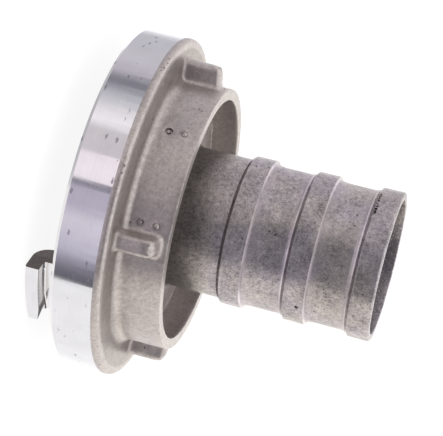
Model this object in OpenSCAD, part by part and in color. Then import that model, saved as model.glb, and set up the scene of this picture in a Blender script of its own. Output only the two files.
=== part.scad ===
// Twist-lock lug coupling half with a hose tail. The axis is Z, the lug tips stand on Z = 0,
// the lugs are on +X and -X, and the hose tail points up.

/* [Lug ring] */
// Diameter of the machined rim
ring_d = 98; // [96:0.5:100]
// Width of the machined rim, from the coupling face to the cast flange
rim_w = 12; // [11.5:0.25:13]
// Thickness of the cast flange behind the rim
back_flange_t = 2.2; // [1.8:0.1:2.6]
// Outer diameter of the collar
collar_d = 76; // [75:0.5:77]
// Wall thickness of the collar
collar_t = 3.2; // [2.6:0.1:3.6]
// Length of the collar and flange behind the rim
collar_len = 15.7; // [15:0.1:17]
// Depth of the hollow inside the collar
hollow_depth = 8.2; // [7:0.1:8.6]

/* [Lugs and claw] */
// Distance between the inner faces of the two lugs
lug_gap = 66; // [65.8:0.1:66.6]
// Radial thickness of a lug's stem
stem_t = 6.4; // [6:0.1:6.6]
// How far the hook stands out past the stem
hook_out = 4.3; // [4:0.1:4.5]
// Height of the lug tips over the coupling face
lug_rise = 9; // [9:0.1:9.4]
// Axial thickness of the hook
hook_t = 4; // [3.6:0.1:4.2]
// Angle that each lug spans
lug_arc = 27; // [24:1:29]
// Thickness of the claw flange that a mating hook grips
claw_t = 4.8; // [4.4:0.1:5]

/* [Wrench ribs] */
// Radius to the top of the ribs
rib_r = 44; // [42.5:0.25:45]
// Width of a rib
rib_w = 5; // [4.5:0.25:6]
// Angle of the first rib from the lug axis
rib_turn = 58.5; // [50:0.5:65]

/* [Hose tail] */
// Diameter over the hose bands
band_d = 42.8; // [42.6:0.1:43.2]
// Diameter of the neck between the bands
neck_d = 40.3; // [39.6:0.1:40.8]
// Diameter of the waterway
bore_d = 36.4; // [35:0.2:36.6]
// Distance from one band to the next
band_pitch = 18.45; // [18:0.05:19]
// Length of the tail beyond the machined rim
tail_len = 70.3; // [69.8:0.1:72]

/* [Hidden] */
$fn = 96;
eps = 0.02;

// Colours
cast_grey = "#a7a3a2";
wire_grey = "#8d8f92";
seal_black = "#1d1d1f";

// Lug ring levels, from the lug tips up
face_z = lug_rise;
claw_z = face_z + claw_t;
floor_z = 2 * lug_rise + 0.4;
rim_z = face_z + rim_w;
back_z = rim_z + back_flange_t;
collar_z = rim_z + collar_len;
web_z = collar_z - hollow_depth;
web_t = 4.4;
seat_z = web_z - web_t;

// Lug ring radii
ring_r = ring_d / 2;
cast_r = ring_r + 0.25;
rim_chamfer = 1;
collar_r = collar_d / 2;
hollow_r = collar_r - collar_t;
lug_in_r = lug_gap / 2;
stem_r = lug_in_r + stem_t;
hook_r = stem_r + hook_out;
claw_in_r = stem_r + 0.9;
channel_r = hook_r + 1.6;
slot_r = hook_r + 0.7;
slot_arc = lug_arc + 4;
seat_r = lug_in_r - 0.2;

// Swivel: the head of the tail turns in the seat, and its journal in the web
swivel_play = 0.08;
journal_r = band_d / 2 + 0.5;
web_bore_r = journal_r + swivel_play;
head_r = seat_r - 0.3;
head_z = face_z + 1;
head_back_z = seat_z - 0.1;

// Snap ring: half of the wire stands in each groove
wire_r = 1;
wire_z = floor_z + 2.6;
wire_ring_r = seat_r + 0.1;
wire_slack = 0.15;
wire_gap_deg = 8;

// Seal and its seat
seal_out_r = 28.6;
seal_lip_r = 27.2;
seal_in_r = 21;
seal_floor_z = head_z + 6.4;
seal_lip_z = head_z + 1.4;
seal_tip_z = face_z - 0.8;

// Hose bands: a short flare of the neck, a step, the crest and a sloping back, from the step's foot
neck_r = neck_d / 2;
band_r = band_d / 2;
bore_r = bore_d / 2;
tail_z = rim_z + tail_len;
inlet_r = bore_r + 0.8;
inlet_z = web_z - 1.6;
inlet_cone = 2;
mouth_r = bore_r + 1.1;
mouth_z = tail_z - 10;
end_band_len = 6.9;
band_foot_z = tail_z - end_band_len - 2 * band_pitch;
flare_len = 2.2;
flare_r = neck_r + 0.25;
band_rise = 0.35;
band_crest = 6.6;
band_fall = 7.1;

// Wrench ribs
rib_end_z = collar_z - 2.2;
rib_foot = 1.3;
rib_edge = 0.9;

// Casting marks on the collar: a round pit and a low pip side by side
mark_turns = [39.4, 79.8];
mark_pit_z = rim_z + 7;
mark_pip_z = rim_z + 11.4;
mark_pit_r = 1.1;
mark_pip_r = 0.85;
mark_depth = 0.35;

// Ejector pips on the back of the cast flange
ejector_turns = [55.9, 92.6];
ejector_ring_r = 45;
ejector_r = 0.6;
ejector_h = 0.3;

// Corner piece between two lines that meet at p and the circle of radius r tangent to both.
// dx and dz point from the corner to the circle's centre. Added it is a fillet, cut it is a round.
module corner(p, dx, dz, r) {
    translate(p) difference() {
        translate([min(dx * r, -dx * eps), min(dz * r, -dz * eps)]) square([r + eps, r + eps]);
        translate([dx * r, dz * r]) circle(r);
    }
}

// Section of the lug ring without its lugs
module ring_section() {
    difference() {
        union() {
            polygon([
                [claw_in_r, face_z], [ring_r - rim_chamfer, face_z], [ring_r, face_z + rim_chamfer],
                [ring_r, rim_z], [cast_r, rim_z], [cast_r, back_z], [collar_r, back_z],
                [collar_r, collar_z], [hollow_r, collar_z], [hollow_r, web_z], [web_bore_r, web_z],
                [web_bore_r, seat_z], [seat_r, seat_z], [seat_r, floor_z], [channel_r, floor_z],
                [channel_r, claw_z], [claw_in_r, claw_z]
            ]);
            corner([collar_r, back_z], 1, 1, 2.5);
            corner([hollow_r, web_z], -1, 1, 0.5);
            corner([channel_r, floor_z], -1, -1, 0.8);
        }
        corner([claw_in_r, face_z], 1, 1, 0.5);
        corner([cast_r, back_z], -1, -1, 1.1);
        corner([collar_r, collar_z], -1, -1, 0.7);
        corner([hollow_r, collar_z], 1, -1, 0.5);
        corner([web_bore_r, web_z], 1, -1, 0.4);
        translate([wire_ring_r, wire_z]) circle(wire_r);
    }
}

// Section of a lug: stem and hook, with the tip rounded on the inside
module lug_section() {
    difference() {
        union() {
            translate([lug_in_r, 0]) square([stem_r - lug_in_r, floor_z + 1]);
            translate([lug_in_r, 0]) square([hook_r - lug_in_r, hook_t]);
            corner([stem_r, hook_t], 1, 1, 0.6);
        }
        corner([lug_in_r, 0], 1, 1, 5);
        corner([hook_r, 0], -1, 1, 0.8);
        corner([hook_r, hook_t], -1, -1, 0.3);
    }
}

// One lug on +X. At its leading end the hook is thinned, so that it starts easily under the claw.
module lug() {
    lead_deg = 8;
    lead_drop = 0.9;
    difference() {
        rotate(-lug_arc / 2) rotate_extrude(angle = lug_arc) lug_section();
        rotate(lug_arc / 2 - lead_deg) translate([stem_r + 0.3, 0, hook_t])
            rotate([-atan(lead_drop / (lead_deg * PI / 180 * hook_r)), 0, 0])
                cube([2 * hook_out, 2 * hook_r * sin(lead_deg), 2]);
    }
}

// Slot in the claw flange that lets a mating hook in
module claw_slot() {
    rotate(90 - slot_arc / 2) rotate_extrude(angle = slot_arc)
        translate([claw_in_r - 1, face_z - 1]) square([slot_r - claw_in_r + 1, claw_t + 2]);
}

// Section across one rib, with a fillet along each foot and rounded edges along its top
module rib_section() {
    foot_x = sqrt(pow(collar_r + rib_foot, 2) - pow(rib_w / 2 + rib_foot, 2));
    difference() {
        union() {
            translate([collar_r - 2, -rib_w / 2]) square([rib_r - collar_r + 2, rib_w]);
            for (side = [-1, 1]) difference() {
                translate([collar_r - 2, side * (rib_w / 4 + rib_foot / 2) - rib_w / 4 - rib_foot / 2])
                    square([foot_x - collar_r + 2, rib_w / 2 + rib_foot]);
                translate([foot_x, side * (rib_w / 2 + rib_foot)]) circle(rib_foot);
            }
        }
        for (side = [-1, 1]) corner([rib_r, side * rib_w / 2], -1, -side, rib_edge);
    }
}

// Profile that bounds a rib in length: rounded at its far end, square at the flange
module rib_bound() {
    difference() {
        translate([collar_r - 1, rim_z + 1]) square([rib_r - collar_r + 2, rib_end_z - rim_z - 1]);
        corner([rib_r, rib_end_z], -1, -1, 3);
    }
}

// A shape drawn in the plane of the rib's width and height, carried along the radius
module along_radius(r0, r1) {
    rotate([90, 0, 90]) translate([0, 0, r0]) linear_extrude(r1 - r0) children();
}

// One wrench rib on +X, blended into the flange, and rounded and blended into the collar at its far end
module rib() {
    difference() {
        intersection() {
            translate([0, 0, rim_z]) linear_extrude(collar_len) rib_section();
            rotate(-12) rotate_extrude(angle = 24) rib_bound();
        }
        along_radius(collar_r + rib_foot, rib_r + 1)
            for (side = [-1, 1]) corner([side * rib_w / 2, rib_end_z], -side, -1, 1.6);
    }
    along_radius(collar_r - 1, rib_r - rib_edge)
        for (side = [-1, 1]) corner([side * rib_w / 2, back_z], side, 1, rib_foot);
    intersection() {
        rotate(-12) rotate_extrude(angle = 24) {
            corner([collar_r, rib_end_z], 1, 1, rib_foot);
            corner([rib_r, back_z], 1, 1, rib_foot);
        }
        translate([collar_r - 2, rib_edge - rib_w / 2, rim_z]) cube([12, rib_w - 2 * rib_edge, collar_len]);
    }
}

// Pit left by the die on the collar's outside, to be cut
module casting_pit() {
    translate([collar_r - mark_depth, 0, mark_pit_z]) rotate([0, 90, 0]) cylinder(h = 2, r = mark_pit_r);
}

// Low pip beside the pit
module casting_pip() {
    translate([collar_r - 1, 0, mark_pip_z]) rotate([0, 90, 0]) cylinder(h = 1 + mark_depth, r = mark_pip_r);
}

// Low pip left on the back of the flange
module ejector_pip() {
    translate([ejector_ring_r, 0, back_z - 1]) cylinder(h = 1 + ejector_h, r = ejector_r);
}

module lug_ring() {
    color(cast_grey) difference() {
        union() {
            rotate_extrude() ring_section();
            for (turn = [0, 180]) rotate(turn) lug();
            for (quarter = [0:3]) rotate(rib_turn + 90 * quarter) rib();
            for (turn = mark_turns, half = [0, 180]) rotate(half - turn) casting_pip();
            for (turn = ejector_turns, half = [0, 180]) rotate(half - turn) ejector_pip();
        }
        for (half = [0, 180]) rotate(half) claw_slot();
        for (turn = mark_turns, half = [0, 180]) rotate(half - turn) casting_pit();
    }
}

// Section of one hose band whose step is at z0
module band_section(z0) {
    polygon([
        [neck_r - 1, z0 - flare_len - 1], [neck_r, z0 - flare_len], [flare_r, z0],
        [band_r, z0 + band_rise], [band_r, z0 + band_crest], [neck_r, z0 + band_fall],
        [neck_r - 1, z0 + band_fall + 1]
    ]);
}

// Section of the last band, which runs on to the tail's end
module end_band_section(z0) {
    polygon([
        [neck_r - 1, z0 - flare_len - 1], [neck_r, z0 - flare_len], [flare_r, z0],
        [band_r, z0 + band_rise], [band_r, tail_z], [neck_r - 1, tail_z]
    ]);
}

module hose_tail() {
    color(cast_grey) rotate_extrude() difference() {
        union() {
            translate([bore_r, head_z]) square([head_r - bore_r, head_back_z - head_z]);
            translate([bore_r, head_back_z - 1]) square([journal_r - bore_r, web_z + 0.6 - head_back_z + 1]);
            polygon([
                [bore_r, web_z], [journal_r, web_z + 0.6], [neck_r, web_z + 3.4],
                [neck_r, tail_z - 2], [bore_r, tail_z - 2]
            ]);
            for (i = [0, 1]) band_section(band_foot_z + i * band_pitch);
            end_band_section(band_foot_z + 2 * band_pitch);
        }
        // seal seat with its retaining lip
        translate([bore_r - 1, seal_lip_z]) square([seal_out_r - bore_r + 1, seal_floor_z - seal_lip_z]);
        translate([bore_r - 1, head_z - 1]) square([seal_lip_r - bore_r + 1, seal_lip_z - head_z + 1 + eps]);
        // wider waterway in the head, and the drafted mouth of the tail
        polygon([
            [bore_r - 1, seal_floor_z - 1], [inlet_r, seal_floor_z - 1], [inlet_r, inlet_z],
            [bore_r, inlet_z + inlet_cone], [bore_r - 1, inlet_z + inlet_cone]
        ]);
        polygon([
            [bore_r - 1, mouth_z], [bore_r, mouth_z], [mouth_r, tail_z], [mouth_r, tail_z + 1],
            [bore_r - 1, tail_z + 1]
        ]);
        // snap ring groove
        translate([wire_ring_r - wire_r - 0.3, wire_z - wire_r - wire_slack])
            square([2, 2 * (wire_r + wire_slack)]);
        corner([band_r, tail_z], -1, -1, 0.9);
        corner([head_r, head_z], -1, 1, 0.6);
        corner([head_r, head_back_z], -1, -1, 0.5);
    }
}

module snap_ring() {
    color(wire_grey) rotate(90 + wire_gap_deg / 2)
        rotate_extrude(angle = 360 - wire_gap_deg)
            translate([wire_ring_r, wire_z]) circle(wire_r);
}

module seal_ring() {
    color(seal_black) rotate_extrude() difference() {
        union() {
            translate([seal_in_r, seal_lip_z])
                square([seal_out_r - seal_in_r, seal_floor_z - seal_lip_z]);
            translate([seal_in_r, seal_tip_z])
                square([seal_lip_r - seal_in_r, seal_lip_z - seal_tip_z + eps]);
        }
        // pressure groove behind the sealing lip
        translate([seal_in_r - 1, seal_lip_z + 1.2]) square([3.6, 2]);
        corner([seal_lip_r, seal_tip_z], -1, 1, 1.2);
        corner([seal_in_r, seal_tip_z], 1, 1, 1.2);
    }
}

lug_ring();
hose_tail();
snap_ring();
seal_ring();
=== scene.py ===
import math
import random

import bmesh
import bpy
from mathutils import Matrix, Vector, noise


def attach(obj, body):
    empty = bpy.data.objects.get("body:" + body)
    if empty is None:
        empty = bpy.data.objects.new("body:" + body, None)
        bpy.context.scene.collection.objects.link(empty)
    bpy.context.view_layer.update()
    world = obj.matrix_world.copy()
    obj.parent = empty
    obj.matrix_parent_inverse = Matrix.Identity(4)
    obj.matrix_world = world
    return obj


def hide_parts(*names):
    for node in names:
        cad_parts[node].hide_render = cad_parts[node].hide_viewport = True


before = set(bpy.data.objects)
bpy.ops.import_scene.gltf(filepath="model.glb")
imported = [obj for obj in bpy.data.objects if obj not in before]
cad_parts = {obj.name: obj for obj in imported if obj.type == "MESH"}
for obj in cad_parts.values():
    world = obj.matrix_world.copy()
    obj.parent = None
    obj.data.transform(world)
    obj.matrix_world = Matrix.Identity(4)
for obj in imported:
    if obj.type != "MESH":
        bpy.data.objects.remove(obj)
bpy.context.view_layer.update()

# One half of a twist-lock lug hose coupling. It stands on its two lug tips with the hose tail up: Z is its
# axis, and the lugs are on +X and -X.
MM = 0.001

# Without a seed, the noise module starts from the clock
noise.seed_set(5)

# The photograph's camera: where it stands round the coupling, how it is rolled, and its lens
CAM_TARGET = Vector((-1.35, -1.28, 42.06)) * MM
CAM_DISTANCE = 0.51083
CAM_AZIMUTH = math.radians(-46.288)
CAM_ELEVATION = math.radians(10.12)
CAM_ROLL = math.radians(104.312)
CAM_LENS = 146.35


# ---------------------------------------------------------------- sizes, in millimetres as in the CAD

# Lug ring: the gripping side of the hooks, the radius inside the lugs, the coupling face and the rim
HOOK_TOP_Z = 4.0
LUG_R = 33.0
FACE_Z = 9.0
RIM_R = 49.0
RIM_Z = 21.0
# Its collar, the hollow inside that, and the web round the tail's journal with the seat under it
COLLAR_R = 38.0
COLLAR_Z = 36.7
HOLLOW_R = 34.8
WEB_Z = 28.5
WEB_BORE_R = 21.98
SEAT_R = 32.8
# Its wrench ribs, with the distance that their fillets reach to either side, and the pairs of casting
# marks on the collar
RIB_END_Z = 34.5
RIB_REACH = 5.5
RIB_TURNS = [math.radians(58.5 + 90 * i) for i in range(4)]
MARK_TURNS = [math.radians(turn) for turn in (-39.4, -79.8, 140.6, 100.2)]
PIT_Z = RIM_Z + 7.0
PIP_Z = RIM_Z + 11.4

# Hose tail: the journal that the ring turns on, and the cone from it to the neck
JOURNAL_R = 21.9
JOURNAL_END_Z = 29.1
NECK_START_Z = 31.9
# From here up the tail is made again as a casting; below, it stays the CAD's
CASTING_START_Z = 29.0
NECK_R = 20.15
BAND_R = 21.4
BORE_R = 18.2
MOUTH_R = 19.3
TAIL_Z = 91.3
MOUTH_Z = 81.3
BAND_FEET = [47.5, 65.95, 84.4]
# In front of each band: how long and how high its neck flares, and how deep the crease behind the flare is
BAND_FRONTS = [(0.9, 0.06, 0.45), (0.9, 0.28, 0.22), (1.1, 0.36, 0.22)]
# Length from the flare to the bottom of the crease, at the band's foot, and from there up to the crest
CREASE_LEN = 0.3
FRONT_LEN = 0.6
# From a band's foot to the end of its crest
BAND_LEN = 6.5
# Behind each band: the length of its steep back, and how long and how high the slope below it runs out
BACK_LEN = 0.52
RUN_OUT = 2.2
RUN_OUT_RISE = 0.22
# Where the neck is smoother and painted brighter as a sheen, behind the bands and before the next: (from
# height, to height)
SMOOTH_SHEEN_STRIPS = [
    (BAND_FEET[0] + BAND_LEN, BAND_FEET[0] + BAND_LEN + 2.0),
    (BAND_FEET[1] - 1.7, BAND_FEET[1]),
    (BAND_FEET[1] + BAND_LEN, BAND_FEET[1] + BAND_LEN + 2.0),
    (BAND_FEET[2] - 2.6, BAND_FEET[2]),
]
# Edges lightened, partly by wear and partly as a painted highlight: (from height, to height, how much)
WORN_AND_HIGHLIT_EDGES = [(foot + BAND_LEN - 0.1, foot + BAND_LEN + 0.4, 0.8) for foot in BAND_FEET[:2]]
WORN_AND_HIGHLIT_EDGES += [(foot - 0.8, foot - 0.2, 0.7) for foot in BAND_FEET[1:]]

# Gas pores and nicks: (azimuth in degrees, radius, height, size). On the tail, a row of them lies along
# the foot of the last band, one is on the second band, and the rest are scattered over the bands.
PORE_CHANCE = random.Random(5)
TAIL_PORES = [
    (-85 - 3.2 * i - 1.8 * PORE_CHANCE.random(), BAND_R, BAND_FEET[2] + FRONT_LEN,
     PORE_CHANCE.uniform(0.5, 0.9)) for i in range(8)]
TAIL_PORES += [(5.5, BAND_R, BAND_FEET[1] + 4.6, 0.6)]
TAIL_PORES += [
    (PORE_CHANCE.uniform(20, 260), BAND_R - 0.02, PORE_CHANCE.choice(BAND_FEET) + PORE_CHANCE.uniform(1, 6),
     PORE_CHANCE.uniform(0.15, 0.4)) for _ in range(8)]
RING_PORES = [
    (turn, RIM_R, RIM_Z + 1.2 + 0.6 * PORE_CHANCE.random(), PORE_CHANCE.uniform(0.25, 0.45))
    for turn in (-101, -98.5, -95.5, -93.5, -56.5, -54.2, 22, 71, 74, 133, 171, 212, 215, 218, 240)]


def link(name, data):
    """A new object of that mesh or camera, in the scene."""
    piece = bpy.data.objects.new(name, data)
    bpy.context.scene.collection.objects.link(piece)
    return piece


def make_camera():
    back = Vector((
        math.cos(CAM_ELEVATION) * math.cos(CAM_AZIMUTH),
        math.cos(CAM_ELEVATION) * math.sin(CAM_AZIMUTH),
        math.sin(CAM_ELEVATION),
    ))
    data = bpy.data.cameras.new("photo_camera")
    data.lens = CAM_LENS
    data.sensor_width = 36.0
    data.clip_start = 0.01
    data.clip_end = 50.0
    camera = link("photo_camera", data)
    camera.rotation_mode = "QUATERNION"
    camera.location = CAM_TARGET + back * CAM_DISTANCE
    upright = (-back).to_track_quat("-Z", "Y")
    roll = Matrix.Rotation(CAM_ROLL, 3, "Z").to_quaternion()
    camera.rotation_quaternion = upright @ roll
    bpy.context.scene.camera = camera


# ---------------------------------------------------------------- node helpers

class Nodes:
    """Short calls for building one node tree."""

    def __init__(self, tree):
        self.tree = tree
        tree.nodes.clear()

    def add(self, kind, **settings):
        node = self.tree.nodes.new(kind)
        inputs = settings.pop("inputs", {})
        for name, value in settings.items():
            setattr(node, name, value)
        for name, value in inputs.items():
            self.put(node, name, value)
        return node

    def put(self, node, name, value):
        socket = node.inputs[name]
        if isinstance(value, bpy.types.NodeSocket):
            self.tree.links.new(value, socket)
        else:
            socket.default_value = value

    def math(self, operation, a, b=0.0):
        return self.add("ShaderNodeMath", operation=operation, inputs={0: a, 1: b}).outputs[0]

    def vector(self, operation, a, b):
        return self.add("ShaderNodeVectorMath", operation=operation, inputs={0: a, 1: b}).outputs[0]

    def step(self, value, low, high):
        """0 below low, 1 above high, smooth between; swapped ends fall instead of rise."""
        node = self.add("ShaderNodeMapRange", interpolation_type="SMOOTHSTEP")
        falls = low > high
        self.put(node, "Value", value)
        self.put(node, "From Min", min(low, high))
        self.put(node, "From Max", max(low, high))
        self.put(node, "To Min", 1.0 if falls else 0.0)
        self.put(node, "To Max", 0.0 if falls else 1.0)
        return node.outputs[0]

    def mix(self, factor, a, b):
        node = self.add("ShaderNodeMix", data_type="FLOAT")
        for i, value in ((0, factor), (2, a), (3, b)):
            self.put(node, i, value)
        return node.outputs[0]

    def mix_color(self, factor, a, b, blend="MIX"):
        node = self.add("ShaderNodeMix", data_type="RGBA", blend_type=blend)
        for i, value in ((0, factor), (6, a), (7, b)):
            self.put(node, i, value)
        return node.outputs[2]

    def ramp(self, value, stops):
        node = self.add("ShaderNodeValToRGB")
        elements = node.color_ramp.elements
        while len(elements) < len(stops):
            elements.new(0.5)
        for element, (place, color) in zip(elements, stops):
            element.position = place
            element.color = (*color, 1.0)
        self.put(node, 0, value)
        return node.outputs[0]

    def noise(self, vector, scale, detail=2.0, roughness=0.5):
        node = self.add("ShaderNodeTexNoise", inputs={
            "Vector": vector, "Scale": scale, "Detail": detail, "Roughness": roughness})
        return node.outputs["Fac"]


def new_material(name):
    material = bpy.data.materials.new(name)
    material.use_nodes = True
    return material, Nodes(material.node_tree)


# ---------------------------------------------------------------- studio

# What the metal mirrors, by the angle on the coupling at which it is seen: (degrees clockwise from the
# lens, colour). The far wall is what the tail and the collar mirror, the low wall what the rim mirrors.
FAR_WALL = [
    (-90, (1.58, 1.53, 1.46)), (-32, (1.58, 1.53, 1.46)), (-27, (0.32, 0.30, 0.32)),
    (-20, (0.20, 0.19, 0.23)), (3, (0.18, 0.17, 0.21)), (10, (0.39, 0.37, 0.39)), (17, (0.92, 0.87, 0.86)),
    (24, (1.02, 0.98, 0.97)), (38, (0.98, 0.94, 0.98)), (52, (1.06, 1.0, 1.05)), (72, (1.10, 1.06, 1.08)),
    (80, (1.45, 1.42, 1.42)), (90, (1.5, 1.45, 1.38)),
]
LOW_WALL = [
    (-97, (0.55, 0.54, 0.58)), (-90, (1.28, 1.27, 1.28)), (-31.6, (1.28, 1.27, 1.28)),
    (-30.8, (0.15, 0.15, 0.18)), (-27.5, (0.24, 0.23, 0.28)), (-24, (0.42, 0.40, 0.49)),
    (-20, (0.76, 0.72, 0.85)), (-15, (0.89, 0.84, 0.98)), (-10, (0.98, 0.92, 1.05)),
    (-5, (0.70, 0.65, 0.79)), (0.3, (0.68, 0.64, 0.77)), (1.9, (0.30, 0.29, 0.36)),
    (2.6, (0.26, 0.25, 0.31)), (3.3, (1.33, 1.22, 1.29)), (11.6, (1.33, 1.22, 1.29)),
    (12.6, (0.90, 0.83, 0.89)), (20.5, (0.88, 0.83, 0.86)), (23.5, (1.34, 1.28, 1.33)),
    (27, (1.22, 1.17, 1.22)), (31, (0.90, 0.88, 0.94)), (36, (0.58, 0.57, 0.63)),
    (39.5, (0.30, 0.29, 0.34)), (42, (0.42, 0.41, 0.46)), (45, (0.74, 0.70, 0.78)),
    (52, (0.82, 0.79, 0.86)), (66, (0.73, 0.72, 0.78)), (71, (0.72, 0.71, 0.77)), (76, (0.92, 0.91, 0.96)),
    (81, (1.17, 1.16, 1.21)), (90, (1.32, 1.31, 1.35)), (97, (0.55, 0.54, 0.58)),
]
# Radius, foot and top of the low wall, and the number of its flat cards
LOW_WALL_R = 150.0
LOW_WALL_FOOT = -78.0
LOW_WALL_TOP = 10.0
LOW_WALL_CARDS = 180
# The bright ground below them both, which the rim's front edge and everything that faces down mirror
GROUND = [
    (-90, (1.30, 1.28, 1.26)), (-34, (1.26, 1.24, 1.23)), (-27, (0.66, 0.64, 0.67)),
    (-19, (1.65, 1.62, 1.65)), (-2, (1.55, 1.52, 1.55)), (15, (1.04, 1.0, 1.03)), (26, (1.5, 1.46, 1.5)),
    (35, (0.74, 0.72, 0.76)), (48, (0.66, 0.65, 0.69)), (66, (0.60, 0.59, 0.62)), (78, (0.74, 0.73, 0.76)),
    (90, (0.95, 0.94, 0.96)),
]
CEILING = (1.5, 1.5, 1.52)


def mirrored_at(turn):
    """Angle round the axis of the place on the low wall that the rim mirrors at that angle of its own."""
    return 2 * turn - math.asin(RIM_R / LOW_WALL_R * math.sin(turn))


def wall_color(n, direction, stops):
    """Colour of a wall by the angle clockwise from the lens of a direction or place, and its height."""
    split = n.add("ShaderNodeSeparateXYZ", inputs={0: direction})
    turn = n.math("ARCTAN2", split.outputs[1], split.outputs[0])
    clockwise = n.math("SUBTRACT", CAM_AZIMUTH, turn)
    wrapped = n.math("FRACT", n.math("ADD", n.math("DIVIDE", clockwise, 2 * math.pi), 0.5))
    color = n.ramp(wrapped, [(angle / (2 * math.pi) + 0.5, shade) for angle, shade in stops])
    return color, split.outputs[2]


def make_world():
    world = bpy.data.worlds.new("studio")
    bpy.context.scene.world = world
    world.use_nodes = True
    n = Nodes(world.node_tree)
    direction = n.add("ShaderNodeTexCoord").outputs["Generated"]
    # what is far away is mirrored at twice the angle of the place that mirrors it
    walls, height = wall_color(n, direction, [(2 * math.radians(turn), color) for turn, color in FAR_WALL])
    ground, _ = wall_color(n, direction, [(2 * math.radians(turn), color) for turn, color in GROUND])
    # the walls turn into the ceiling above, and into the ground below
    room = n.mix_color(n.step(height, 0.30, 0.70), walls, (*CEILING, 1))
    room = n.mix_color(n.step(height, -0.30, -0.46), room, ground)
    # the backdrop itself is white
    seen = n.add("ShaderNodeLightPath").outputs["Is Camera Ray"]
    color = n.mix_color(seen, room, (1, 1, 1, 1))
    background = n.add("ShaderNodeBackground", inputs={"Color": color, "Strength": 1.0})
    n.add("ShaderNodeOutputWorld", inputs={"Surface": background.outputs[0]})


def make_low_wall():
    """A low ring of cards close round the coupling, which only the metal near the floor mirrors."""
    verts = []
    faces = []
    for i in range(LOW_WALL_CARDS):
        turn = 2 * math.pi * i / LOW_WALL_CARDS
        for height in (LOW_WALL_FOOT, LOW_WALL_TOP):
            verts.append(Vector((LOW_WALL_R * math.cos(turn), LOW_WALL_R * math.sin(turn), height)) * MM)
        following = 2 * ((i + 1) % LOW_WALL_CARDS)
        faces.append((2 * i, 2 * i + 1, following + 1, following))
    mesh = bpy.data.meshes.new("low_wall")
    mesh.from_pydata(verts, [], faces)
    wall = link("low_wall", mesh)
    material, n = new_material("low_wall")
    stops = [(mirrored_at(math.radians(turn)), color) for turn, color in LOW_WALL]
    color, _ = wall_color(n, n.add("ShaderNodeTexCoord").outputs["Object"], stops)
    glow = n.add("ShaderNodeEmission", inputs={"Color": color, "Strength": 1.0})
    n.add("ShaderNodeOutputMaterial", inputs={"Surface": glow.outputs[0]})
    mesh.materials.append(material)
    material.cycles.emission_sampling = "NONE"
    wall.visible_camera = False
    wall.visible_shadow = False
    wall.visible_diffuse = False


def make_floor():
    """A wide white floor, which only the camera sees: the bright ground lights the metal instead of it."""
    half = 3.0
    gap = 0.2 * MM
    corners = [(-half, -half, 0), (half, -half, 0), (half, half, 0), (-half, half, 0)]
    mesh = bpy.data.meshes.new("floor")
    mesh.from_pydata(corners, [], [(0, 1, 2, 3)])
    floor = link("floor", mesh)
    material, n = new_material("floor_white")
    paint = n.add("ShaderNodeBsdfDiffuse", inputs={"Color": (0.14, 0.14, 0.14, 1)})
    glow = n.add("ShaderNodeEmission", inputs={"Color": (1, 1, 1, 1), "Strength": 0.90})
    both = n.add("ShaderNodeAddShader", inputs={0: paint.outputs[0], 1: glow.outputs[0]})
    n.add("ShaderNodeOutputMaterial", inputs={"Surface": both.outputs[0]})
    mesh.materials.append(material)
    material.cycles.emission_sampling = "NONE"
    floor.visible_glossy = False
    floor.visible_diffuse = False
    floor.location.z = -gap


# ---------------------------------------------------------------- materials

# The casting skins are not quite metal all over, because they are oxidised and dusty
CAST_METALLIC = 0.72


def places(n):
    """Object coordinates in metres, and radius and height in millimetres."""
    place = n.add("ShaderNodeTexCoord").outputs["Object"]
    split = n.add("ShaderNodeSeparateXYZ", inputs={0: place})
    x, y, z = split.outputs
    radius = n.math("SQRT", n.math("ADD", n.math("MULTIPLY", x, x), n.math("MULTIPLY", y, y)))
    return place, n.math("MULTIPLY", radius, 1000), n.math("MULTIPLY", z, 1000)


def cast_skin(n, place, tones, blotch_share):
    """Colour, roughness and height of a blasted casting skin. tones run from its dark to its light grains."""
    blotch = n.noise(place, 150, 3.0, 0.6)
    mottle = n.noise(place, 800, 2.0, 0.6)
    grain = n.noise(place, 2000, 2.0, 0.7)
    level = n.mix(blotch_share, mottle, blotch)
    level = n.math("ADD", level, n.math("MULTIPLY", n.math("SUBTRACT", grain, 0.5), 0.75))
    dark, middle, light = tones
    color = n.ramp(level, [(0.24, dark), (0.50, middle), (0.76, light)])
    # small black pores, in few places
    pores = n.add("ShaderNodeTexVoronoi", inputs={"Vector": place, "Scale": 300.0, "Randomness": 1.0})
    draw = n.add("ShaderNodeSeparateXYZ", inputs={0: pores.outputs["Color"]}).outputs[0]
    chosen = n.math("GREATER_THAN", draw, 0.8)
    in_pore = n.math("MULTIPLY", chosen, n.math("LESS_THAN", pores.outputs["Distance"], 0.10))
    color = n.mix_color(n.math("MULTIPLY", in_pore, 0.75), color, (0.05, 0.045, 0.045, 1))
    roughness = n.mix(mottle, 0.42, 0.30)
    height = n.math("ADD", n.math("MULTIPLY", mottle, 0.6), n.math("MULTIPLY", grain, 0.4))
    return color, roughness, n.math("SUBTRACT", height, n.math("MULTIPLY", in_pore, 1.5))


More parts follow.
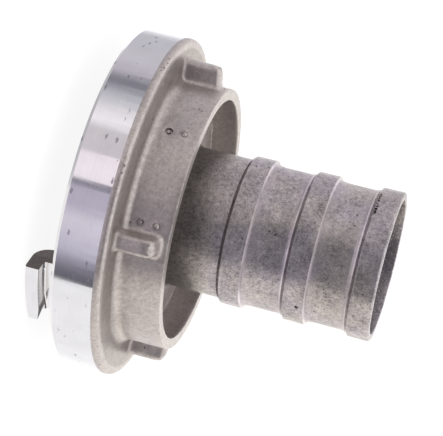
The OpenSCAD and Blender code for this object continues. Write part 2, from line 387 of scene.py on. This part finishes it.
def turned_skin(n, place, radius, height_mm):
    """Colour, roughness and height of a turned surface: fine rings, and sparse dents and scratches."""
    x = n.add("ShaderNodeSeparateXYZ", inputs={0: place}).outputs[0]
    rings_place = n.add("ShaderNodeCombineXYZ", inputs={
        0: n.math("MULTIPLY", radius, 5.0), 1: n.math("MULTIPLY", height_mm, 5.0),
        2: n.math("MULTIPLY", x, 22.0)})
    rings = n.noise(rings_place.outputs[0], 1.0, 3.0, 0.65)
    cloud = n.noise(place, 170, 3.0, 0.5)
    level = n.mix(0.5, rings, cloud)
    color = n.ramp(level, [(0.28, (0.58, 0.575, 0.585)), (0.72, (0.68, 0.675, 0.685))])
    # dents: small dark marks a millimetre or two long, drawn out round the ring
    squeezed = n.vector("MULTIPLY", place, (1.0, 1.0, 2.4))
    waves = n.add("ShaderNodeTexNoise", inputs={"Vector": place, "Scale": 700.0}).outputs["Color"]
    bent = n.vector("ADD", squeezed, n.vector("MULTIPLY", waves, (0.0022, 0.0022, 0.0022)))
    dents = n.add("ShaderNodeTexVoronoi", inputs={"Vector": bent, "Scale": 210.0})
    draw = n.add("ShaderNodeSeparateXYZ", inputs={0: dents.outputs["Color"]}).outputs[0]
    chosen = n.step(draw, 0.4, 0.6)
    dent = n.math("MULTIPLY", chosen, n.step(dents.outputs["Distance"], 0.26, 0.1))
    color = n.mix_color(n.math("MULTIPLY", dent, 0.7), color, (0.16, 0.15, 0.18, 1))
    roughness = n.math("ADD", n.mix(level, 0.06, 0.14), n.math("MULTIPLY", dent, 0.2))
    return color, roughness, n.math("SUBTRACT", rings, n.math("MULTIPLY", dent, 0.8))


def finish_material(n, color, roughness, metallic, normal):
    shader = n.add("ShaderNodeBsdfPrincipled", inputs={
        "Base Color": color, "Metallic": metallic, "Roughness": roughness, "Normal": normal})
    n.add("ShaderNodeOutputMaterial", inputs={"Surface": shader.outputs[0]})


def make_ring_metal():
    """Casting skin outside, turned faces and rim, and dark as-cast ends on the lugs."""
    material, n = new_material("ring_aluminium")
    place, radius, height_mm = places(n)
    cast_color, cast_rough, cast_height = cast_skin(
        n, place, ((0.31, 0.28, 0.265), (0.417, 0.378, 0.36), (0.525, 0.482, 0.46)), 0.35)
    turned_color, turned_rough, turned_height = turned_skin(n, place, radius, height_mm)
    below_rim = n.step(height_mm, RIM_Z + 0.05, RIM_Z - 0.05)
    under_web = n.step(height_mm, WEB_Z - 0.2, WEB_Z - 0.4)
    in_seat = n.math("MULTIPLY", n.step(radius, SEAT_R + 1.2, SEAT_R + 0.7), under_web)
    turned = n.math("MAXIMUM", below_rim, in_seat)
    # the ends of the lugs are as cast: there the surface faces round the ring
    normal = n.add("ShaderNodeTexCoord").outputs["Normal"]
    outward = n.add("ShaderNodeVectorMath", operation="NORMALIZE", inputs={
        0: n.vector("MULTIPLY", place, (1, 1, 0))}).outputs[0]
    around = n.vector("CROSS_PRODUCT", outward, n.vector("MULTIPLY", normal, (1, 1, 0)))
    sideways = n.add("ShaderNodeVectorMath", operation="LENGTH", inputs={0: around}).outputs["Value"]
    lug_end = n.math("MULTIPLY", n.step(sideways, 0.30, 0.36), n.step(height_mm, FACE_Z + 0.3, FACE_Z - 0.3))
    lug_end = n.math("MULTIPLY", lug_end, n.step(radius, LUG_R - 0.2, LUG_R + 0.1))
    # the corner between the flange's back and the foot of the collar is painted darker as shade
    on_flange = n.step(radius, RIM_R - 2.0, RIM_R - 2.6)
    in_corner = n.math("MULTIPLY", on_flange, n.step(height_mm, RIM_Z + 3.6, RIM_Z + 2.4))
    outside_collar = n.step(radius, COLLAR_R - 1.0, COLLAR_R - 0.5)
    corner_shade = n.math("MULTIPLY", n.math("MULTIPLY", in_corner, outside_collar), 0.4)
    cast_color = n.mix_color(corner_shade, cast_color, (0.10, 0.078, 0.065, 1))
    color = n.mix_color(turned, cast_color, turned_color)
    color = n.mix_color(lug_end, color, n.mix_color(0.7, cast_color, (0.08, 0.062, 0.055, 1)))
    # the side of the hooks that grips the claw is duller, and painted dark as shade, darkest where it is
    # thinned as a lead-in
    x, y, _ = n.add("ShaderNodeSeparateXYZ", inputs={0: place}).outputs
    lead_in = n.step(n.math("DIVIDE", y, x), 0.07, 0.12)
    up = n.add("ShaderNodeSeparateXYZ", inputs={0: normal}).outputs[2]
    on_hook = n.step(height_mm, HOOK_TOP_Z + 2.4, HOOK_TOP_Z + 2.2)
    hook_back_shade = n.math("MULTIPLY", n.step(up, 0.4, 0.6), on_hook)
    hook_back_shade = n.math("MULTIPLY", hook_back_shade, n.mix(lead_in, 0.15, 0.95))
    color = n.mix_color(hook_back_shade, color, (0.07, 0.06, 0.06, 1))
    lug_end = n.math("MAXIMUM", lug_end, hook_back_shade)
    rough = n.mix(lug_end, n.mix(turned, cast_rough, turned_rough), 0.5)
    turned = n.math("MULTIPLY", turned, n.math("SUBTRACT", 1.0, lug_end))
    cast_bump = n.add("ShaderNodeBump", inputs={
        "Strength": n.math("SUBTRACT", 1.0, turned), "Distance": 0.00007, "Height": cast_height})
    turned_bump = n.add("ShaderNodeBump", inputs={
        "Strength": turned, "Distance": 0.000005, "Height": turned_height, "Normal": cast_bump.outputs[0]})
    finish_material(n, color, rough, n.mix(turned, CAST_METALLIC, 1.0), turned_bump.outputs[0])
    return material


def make_tail_metal():
    """A rougher, darker and more blotched casting skin."""
    material, n = new_material("tail_aluminium")
    place, radius, height_mm = places(n)
    color, rough, height = cast_skin(
        n, place, ((0.13, 0.122, 0.13), (0.33, 0.31, 0.313), (0.54, 0.51, 0.50)), 0.5)
    # the neck beside the bands is smoother, and painted brighter there as a sheen, with ragged borders
    waver = n.math("SUBTRACT", n.noise(place, 260, 3.0), 0.5)
    ragged = n.math("ADD", height_mm, n.math("MULTIPLY", waver, 2.2))
    smooth = 0.0
    for start, end in SMOOTH_SHEEN_STRIPS:
        begun = n.step(ragged, start - 0.5, start + 0.5)
        strip = n.math("MULTIPLY", begun, n.step(ragged, end + 0.6, end - 0.6))
        smooth = n.math("MAXIMUM", strip, smooth)
    smooth = n.math("MULTIPLY", smooth, n.step(radius, BAND_R - 0.1, BAND_R - 0.3))
    color = n.mix_color(n.math("MULTIPLY", smooth, 0.4), color, (0.42, 0.39, 0.405, 1))
    height = n.mix(n.math("MULTIPLY", smooth, 0.6), height, 0.5)
    # the edges beside the bands are lightened, partly wear from handling and partly a painted highlight
    patchy = n.step(n.noise(place, 90, 2.0), 0.25, 0.6)
    for start, end, share in WORN_AND_HIGHLIT_EDGES:
        edge = n.math("MULTIPLY", n.step(height_mm, start, start + 0.2), n.step(height_mm, end, end - 0.1))
        wear_and_highlight = n.math("MULTIPLY", n.math("MULTIPLY", edge, patchy), share)
        color = n.mix_color(wear_and_highlight, color, (0.70, 0.65, 0.66, 1))
    # the pores open through the bands' crests are painted black inside as shade
    in_crest = 0.0
    for foot in BAND_FEET:
        past_foot = n.step(height_mm, foot + FRONT_LEN, foot + FRONT_LEN + 0.15)
        before_back = n.step(height_mm, foot + BAND_LEN - 0.2, foot + BAND_LEN - 0.5)
        crest = n.math("MULTIPLY", past_foot, before_back)
        in_crest = n.math("MAXIMUM", crest, in_crest)
    outside_mouth = n.step(radius, MOUTH_R + 0.5, MOUTH_R + 0.7)
    sunk = n.math("MULTIPLY", n.step(radius, BAND_R - 0.16, BAND_R - 0.3), outside_mouth)
    pit = n.math("MULTIPLY", n.math("MULTIPLY", sunk, in_crest), 0.9)
    color = n.mix_color(pit, color, (0.02, 0.018, 0.02, 1))
    # the bore is machined coarsely, with painted glints on it
    glints = n.add("ShaderNodeTexVoronoi", inputs={"Vector": place, "Scale": 1300.0}).outputs["Distance"]
    in_bore = n.step(radius, MOUTH_R + 0.3, MOUTH_R + 0.1)
    painted_glint = n.math("MULTIPLY", n.step(glints, 0.30, 0.15), in_bore)
    color = n.mix_color(n.math("MULTIPLY", painted_glint, 0.8), color, (0.85, 0.83, 0.88, 1))
    # the bore, and the neck inside the collar, are painted darker as shade
    hollow_shade = n.math("MULTIPLY", n.step(radius, MOUTH_R + 0.3, MOUTH_R - 0.3), 0.5)
    waver = n.math("SUBTRACT", n.noise(place, 110, 3.0), 0.5)
    cloudy = n.math("ADD", height_mm, n.math("MULTIPLY", waver, 9.0))
    hollow_shade = n.math("MAXIMUM", hollow_shade, n.math("MULTIPLY", n.step(cloudy, 46.0, 34.0), 0.5))
    color = n.mix_color(hollow_shade, color, (0.06, 0.05, 0.042, 1))
    # its hue drifts between lilac and a warm grey, and is warm inside the collar
    warm = n.math("MAXIMUM", n.step(n.noise(place, 70, 2.0), 0.35, 0.65), n.step(height_mm, 48.0, 43.0))
    hue = n.mix_color(warm, (1.01, 0.98, 1.05, 1), (1.02, 0.995, 0.96, 1))
    color = n.mix_color(1.0, color, hue, "MULTIPLY")
    bump = n.add("ShaderNodeBump", inputs={"Strength": 1.0, "Distance": 0.00008, "Height": height})
    finish_material(n, color, rough, CAST_METALLIC, bump.outputs[0])
    return material


def make_plain(name, color, metallic, roughness):
    """One colour with a fine grain, for the two pieces inside."""
    material, n = new_material(name)
    place = n.add("ShaderNodeTexCoord").outputs["Object"]
    fine = n.noise(place, 1500, 3.0, 0.6)
    tone = n.mix_color(fine, tuple(0.8 * c for c in color) + (1,), tuple(1.15 * c for c in color) + (1,))
    bump = n.add("ShaderNodeBump", inputs={"Strength": 0.3, "Distance": 0.00005, "Height": fine})
    finish_material(n, tone, roughness, metallic, bump.outputs[0])
    return material


MATERIALS = {
    "lug_ring": make_ring_metal(),
    "hose_tail": make_tail_metal(),
    "snap_ring": make_plain("spring_wire", (0.45, 0.44, 0.43), 1.0, 0.3),
    "seal_ring": make_plain("nitrile_rubber", (0.012, 0.012, 0.013), 0.0, 0.55),
}

# ---------------------------------------------------------------- mesh tools

# Length of the mesh's steps on the cast skins, and along the bore
CAST_GRID = 0.42
BORE_GRID = 2.0
# Number of steps round the axis: of the shapes that cut the ring, of the tail, and of a small mark
RING_STEPS = 360
TAIL_STEPS = 300
MARK_STEPS = 24
# Edges sharper than this are drawn crisp
CRISP_ANGLE = math.radians(32)


def lathe(name, outline, steps):
    """A closed solid of revolution about Z. The outline is a closed loop of (radius, height)."""
    count = len(outline)
    verts = []
    faces = []
    for i in range(steps):
        turn = 2 * math.pi * i / steps
        verts += [(r * MM * math.cos(turn), r * MM * math.sin(turn), z * MM) for r, z in outline]
        here = i * count
        there = (i + 1) % steps * count
        for p in range(count):
            q = (p + 1) % count
            faces.append((here + p, there + p, there + q, here + q))
    mesh = bpy.data.meshes.new(name)
    mesh.from_pydata(verts, [], faces)
    return link(name, mesh)


def copy_node(node, name):
    """A closed copy of a CAD node's mesh, without its stored normals."""
    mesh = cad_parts[node].data.copy()
    mesh.attributes.remove(mesh.attributes["custom_normal"])
    work = bmesh.new()
    work.from_mesh(mesh)
    bmesh.ops.remove_doubles(work, verts=work.verts, dist=1e-7)
    work.to_mesh(mesh)
    work.free()
    return link(name, mesh)


def apply_modifiers(piece):
    depsgraph = bpy.context.evaluated_depsgraph_get()
    mesh = bpy.data.meshes.new_from_object(piece.evaluated_get(depsgraph))
    piece.modifiers.clear()
    piece.data = mesh


def combine(piece, other, operation):
    """Boolean of two closed solids into the first; the second is removed."""
    modifier = piece.modifiers.new("combine", "BOOLEAN")
    modifier.operation = operation
    modifier.solver = "MANIFOLD"
    modifier.object = other
    apply_modifiers(piece)
    bpy.data.objects.remove(other)


def polar(co):
    """Radius and height in millimetres and azimuth in radians of a vertex."""
    return math.hypot(co.x, co.y) / MM, co.z / MM, math.atan2(co.y, co.x)


def smooth_where(piece, weight, iterations):
    """Relaxes the mesh, more where weight(radius, height, azimuth) is near 1."""
    group = piece.vertex_groups.new(name="soft")
    members = {}
    for vertex in piece.data.vertices:
        members.setdefault(weight(*polar(vertex.co)), []).append(vertex.index)
    for share, indices in members.items():
        group.add(indices, share, "REPLACE")
    modifier = piece.modifiers.new("relax", "SMOOTH")
    modifier.factor = 0.5
    modifier.iterations = iterations
    modifier.vertex_group = "soft"
    apply_modifiers(piece)
    piece.vertex_groups.clear()


def roughen(piece, depth, size):
    """Moves the skin in and out by up to depth, in lumps of about that size, as sand or die castings have."""
    texture = bpy.data.textures.new("lumps", "CLOUDS")
    texture.noise_scale = size * MM
    texture.noise_depth = 2
    modifier = piece.modifiers.new("lumps", "DISPLACE")
    modifier.texture = texture
    modifier.texture_coords = "LOCAL"
    modifier.strength = 2 * depth * MM
    modifier.mid_level = 0.5
    apply_modifiers(piece)


def round_corners(corners):
    """The closed outline with an arc at each corner. A corner is its place and its radius."""
    points = []
    outline = [Vector(place) for place, _ in corners]
    for i, (_, radius) in enumerate(corners):
        corner = outline[i]
        before = outline[i - 1] - corner
        after = outline[(i + 1) % len(outline)] - corner
        if radius == 0:
            points.append(corner)
            continue
        half = before.angle(after) / 2
        reach = min(radius / math.tan(half), 0.48 * before.length, 0.48 * after.length)
        start = corner + before.normalized() * reach
        end = corner + after.normalized() * reach
        steps = 6 if radius > 0.2 else 3
        for step in range(steps + 1):
            t = step / steps
            points.append(start * (1 - t) ** 2 + corner * 2 * t * (1 - t) + end * t ** 2)
    return points


def even_points(outline):
    """The closed outline with extra points, so that none of its steps is long; the bore's may be longer."""
    points = []
    for i, point in enumerate(outline):
        following = outline[(i + 1) % len(outline)]
        limit = BORE_GRID if max(point.x, following.x) < MOUTH_R else CAST_GRID
        steps = max(1, math.ceil((following - point).length / limit))
        points += [tuple(point.lerp(following, step / steps)) for step in range(steps)]
    return points


def drill_pores(casting, pores):
    """Small gas pores and nicks in the casting's skin: (azimuth in degrees, radius, height, size)."""
    work = bmesh.new()
    for turn, radius, height, size in pores:
        turned = Matrix.Rotation(math.radians(turn), 4, "Z")
        place = turned @ Matrix.Translation((radius * MM, 0, height * MM))
        bmesh.ops.create_icosphere(work, subdivisions=2, radius=size * MM, matrix=place)
    for vertex in work.verts:
        vertex.co += 0.12 * MM * noise.noise_vector(vertex.co / (0.5 * MM))
    mesh = bpy.data.meshes.new("pores")
    work.to_mesh(mesh)
    work.free()
    combine(casting, link("pores", mesh), "DIFFERENCE")


def drop_crumbs(piece):
    """Removes what the Booleans leave where surfaces coincide: faces back to back, and loose slivers."""
    work = bmesh.new()
    work.from_mesh(piece.data)
    same_corners = {}
    for face in work.faces:
        same_corners.setdefault(frozenset(vertex.index for vertex in face.verts), []).append(face)
    flat = [face for faces in same_corners.values() if len(faces) > 1 for face in faces]
    bmesh.ops.delete(work, geom=flat, context="FACES")
    parts = []
    unseen = set(work.verts)
    while unseen:
        part = [unseen.pop()]
        for vertex in part:
            for edge in vertex.link_edges:
                other = edge.other_vert(vertex)
                if other in unseen:
                    unseen.remove(other)
                    part.append(other)
        parts.append(part)
    parts.sort(key=len)
    slivers = [vertex for part in parts[:-1] for vertex in part]
    bmesh.ops.delete(work, geom=slivers, context="VERTS")
    work.to_mesh(piece.data)
    work.free()


def finish_piece(piece, node, body):
    """Shades the piece, takes over the CAD node and lets the piece ride on its body."""
    drop_crumbs(piece)
    piece.data.materials.clear()
    piece.data.materials.append(MATERIALS[node])
    for polygon in piece.data.polygons:
        polygon.use_smooth = True
        polygon.material_index = 0
    piece.data.set_sharp_from_angle(angle=CRISP_ANGLE)
    modifier = piece.modifiers.new("even_light", "WEIGHTED_NORMAL")
    modifier.keep_sharp = True
    apply_modifiers(piece)
    piece.data.name = piece.name
    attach(piece, body)
    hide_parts(node)


# ---------------------------------------------------------------- lug ring

def rib_closeness(azimuth):
    """Smallest angle to a rib's middle, in radians."""
    return min(abs((azimuth - turn + math.pi) % (2 * math.pi) - math.pi) for turn in RIB_TURNS)


def ring_softness(radius, height, azimuth):
    """How much the relaxing acts: most on the ribs, little on the collar's end and the machined part."""
    if height < RIM_Z - 1 or radius < WEB_BORE_R + 1:
        return 0.0
    if radius < HOLLOW_R + 0.6 or height > COLLAR_Z - 0.6:
        return 0.1
    if rib_closeness(azimuth) * radius < RIB_REACH and radius > COLLAR_R + 0.2:
        return 1.0 if height > RIB_END_Z - 2.5 else 0.7
    return 0.7 if radius > RIM_R - 2.5 else 0.25


def make_marks(casting, turn):
    """Two small round die marks side by side on the collar: a pit with a button in it, and a low pip."""
    outward = Matrix.Rotation(turn, 4, "Z") @ Matrix.Translation((COLLAR_R * MM, 0, 0))
    lay_out = Matrix.Rotation(math.pi / 2, 4, "Y")
    pit = [(0.001, -0.1), (0.35, -0.16), (0.55, -0.4), (0.62, -0.9), (1.08, -0.9), (1.2, 1), (0.001, 1)]
    moat = [(0.82, -0.12), (0.98, -0.12), (1.1, 1), (0.82, 1)]
    pip = [(0.001, -1), (0.8, -1), (0.8, 0.12), (0.6, 0.34), (0.3, 0.45), (0.001, 0.48)]
    steps = (
        (PIT_Z, pit, "DIFFERENCE"),
        (PIP_Z, moat, "DIFFERENCE"),
        (PIP_Z, pip, "UNION"),
    )
    for height, outline, operation in steps:
        mark = lathe("mark", outline, MARK_STEPS)
        mark.data.transform(outward @ Matrix.Translation((0, 0, height * MM)) @ lay_out)
        combine(casting, mark, operation)


def make_lug_ring():
    """The CAD ring with its cast outside made again as a softened, slightly uneven casting skin."""
    # limits that clear the whole ring outside and above, and limits inside its metal: just outside the
    # web's bore, within the web, and outside the seat
    clear_r = 52
    clear_z = 60
    inner_r = WEB_BORE_R + 0.35
    in_web_z = WEB_Z - 2
    outer_r = SEAT_R + 0.8
    cast_zone = [
        (inner_r, in_web_z), (outer_r, in_web_z), (outer_r, RIM_Z), (clear_r, RIM_Z),
        (clear_r, COLLAR_Z - 0.02), (inner_r, COLLAR_Z - 0.02)]
    collar_zone = cast_zone[:4] + [(clear_r, clear_z), (inner_r, clear_z)]
    hollow = [
        (30, WEB_Z), (HOLLOW_R - 0.5, WEB_Z), (HOLLOW_R - 0.15, WEB_Z + 0.15), (HOLLOW_R, WEB_Z + 0.5),
        (HOLLOW_R, WEB_Z + 3), (30, WEB_Z + 3)]
    ring = copy_node("lug_ring", "ring_body")
    casting = copy_node("lug_ring", "ring_skin")
    upper = [
        (WEB_BORE_R - 2, RIM_Z - 1.5), (clear_r, RIM_Z - 1.5), (clear_r, clear_z), (WEB_BORE_R - 2, clear_z)]
    combine(casting, lathe("zone", upper, RING_STEPS), "INTERSECT")
    remesh = casting.modifiers.new("even", "REMESH")
    remesh.mode = "VOXEL"
    remesh.voxel_size = CAST_GRID * MM
    apply_modifiers(casting)
    smooth_where(casting, ring_softness, 30)
    roughen(casting, 0.05, 5.0)
    roughen(casting, 0.02, 1.6)
    # the collar's end is raised before it is cut off flat, so that its edges come out sharp
    for vertex in casting.data.vertices:
        if vertex.co.z > (COLLAR_Z - 1.2) * MM:
            vertex.co.z += 0.35 * MM
    combine(casting, lathe("hollow", hollow, RING_STEPS), "DIFFERENCE")
    for turn in MARK_TURNS:
        make_marks(casting, turn)
    drill_pores(casting, RING_PORES)
    combine(casting, lathe("zone", cast_zone, RING_STEPS), "INTERSECT")
    combine(ring, lathe("zone", collar_zone, RING_STEPS), "DIFFERENCE")
    combine(ring, casting, "UNION")
    finish_piece(ring, "lug_ring", "ring")


# ---------------------------------------------------------------- hose tail

def tail_outline():
    """Outside, mouth and bore of the tail's cast part. Each corner is a place and how round it is."""
    corners = [
        ((BORE_R, CASTING_START_Z), 0), ((JOURNAL_R, CASTING_START_Z), 0), ((JOURNAL_R, JOURNAL_END_Z), 0.3),
        ((NECK_R, NECK_START_Z), 2.0)]
    for foot, (flare_len, flare_rise, crease) in zip(BAND_FEET, BAND_FRONTS):
        lip = NECK_R + flare_rise
        corners += [
            ((NECK_R, foot - CREASE_LEN - flare_len), 2.0), ((lip, foot - CREASE_LEN), 0.05),
            ((lip - crease, foot), 0.05), ((BAND_R - 0.05, foot + FRONT_LEN), 0.3)]
        if foot != BAND_FEET[-1]:
            corners += [
                ((BAND_R, foot + BAND_LEN), 0.1),
                ((NECK_R + RUN_OUT_RISE, foot + BAND_LEN + BACK_LEN), 0.1),
                ((NECK_R, foot + BAND_LEN + BACK_LEN + RUN_OUT), 1.5)]
    corners += [
        ((BAND_R, TAIL_Z), 0.8), ((MOUTH_R, TAIL_Z), 0.3), ((BORE_R + 0.1, MOUTH_Z), 2.0)]
    return even_points(round_corners(corners))


def make_hose_tail():
    """The CAD tail with everything above its journal made again as an uneven casting."""
    tail = copy_node("hose_tail", "tail_body")
    casting = lathe("tail_skin", tail_outline(), TAIL_STEPS)
    offset = Vector((3.1, 7.7, 1.9))
    for vertex in casting.data.vertices:
        if vertex.co.z > (CASTING_START_Z + 0.5) * MM:
            place = vertex.co / MM
            waves = 0.07 * noise.noise_vector(place / 6 + offset)
            ripples = 0.03 * noise.noise_vector(place / 1.7 - offset)
            vertex.co += (waves + ripples) * MM
    drill_pores(casting, TAIL_PORES)
    # from inside the bore to outside the bands, and past the mouth
    zone = [(10, CASTING_START_Z), (30, CASTING_START_Z), (30, 100), (10, 100)]
    combine(tail, lathe("zone", zone, 64), "DIFFERENCE")
    combine(tail, casting, "UNION")
    finish_piece(tail, "hose_tail", "tail")


make_camera()
make_world()
make_low_wall()
make_floor()
make_lug_ring()
make_hose_tail()
for name in ("snap_ring", "seal_ring"):
    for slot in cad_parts[name].material_slots:
        slot.material = MATERIALS[name]
bpy.context.scene.view_settings.view_transform = "Standard"
